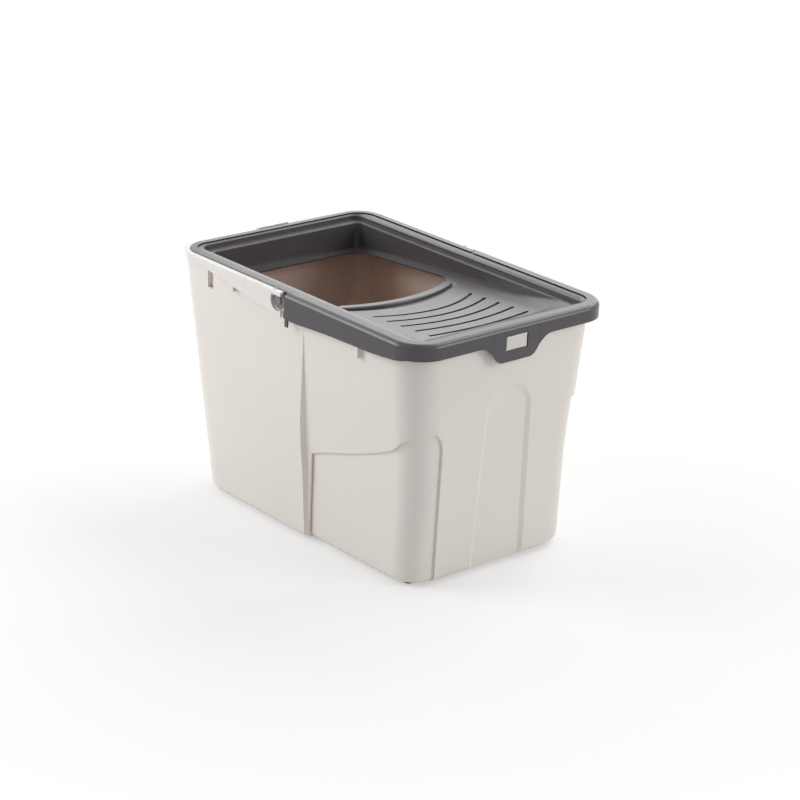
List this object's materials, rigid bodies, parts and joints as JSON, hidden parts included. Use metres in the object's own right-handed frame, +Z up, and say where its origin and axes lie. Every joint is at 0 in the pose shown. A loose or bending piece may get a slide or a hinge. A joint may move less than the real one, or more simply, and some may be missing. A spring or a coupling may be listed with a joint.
{
  "type": "litter tray",
  "caption": "Tall lidded litter tray with a top entry hole, a ribbed sloping ramp, a swing-over carry handle and a front snap latch.",
  "frame": {"origin": "centre of the bounding box's bottom face, on the ground between the four feet", "axes": "+X along the length from the rear towards the latch end, +Y across, +Z up"},
  "size_m": [0.585, 0.39, 0.3964],
  "materials": {
    "tub": "smooth satin moulded plastic, warm ivory",
    "foot": "matt rubber",
    "stud": "satin grey plastic",
    "catch": "glossy pale plastic",
    "handle": "glossy moulded plastic, warm ivory",
    "lid": "glossy dark grey moulded plastic"
  },
  "bodies": {
    "tub": {"tub": "tub", "foot_near_rear": "foot", "foot_near_front": "foot", "foot_far_rear": "foot", "foot_far_front": "foot", "pivot_stud_near": "stud", "pivot_stud_far": "stud", "front_catch": "catch"},
    "handle": {"carry_handle": "handle"},
    "lid": {"lid": "lid"},
    "latch": {"latch_tab": "lid"}
  },
  "joints": [
    {"name": "lid_lift", "type": "slide", "parent": "tub", "child": "lid", "axis": [0, 0, 1], "range_m": [0, 0.06], "deforming": ["latch_tab"]},
    {"name": "handle_swing", "type": "hinge", "parent": "tub", "child": "handle", "pos_m": [-0.024, 0, 0.379], "axis": [0, 1, 0], "range_deg": [0, 90]},
    {"name": "latch_release", "type": "hinge", "parent": "lid", "child": "latch", "pos_m": [0.29125, 0, 0.3895], "axis": [0, -1, 0], "range_deg": [0, 12], "stiffness_Nm_per_rad": 2}
  ]
}
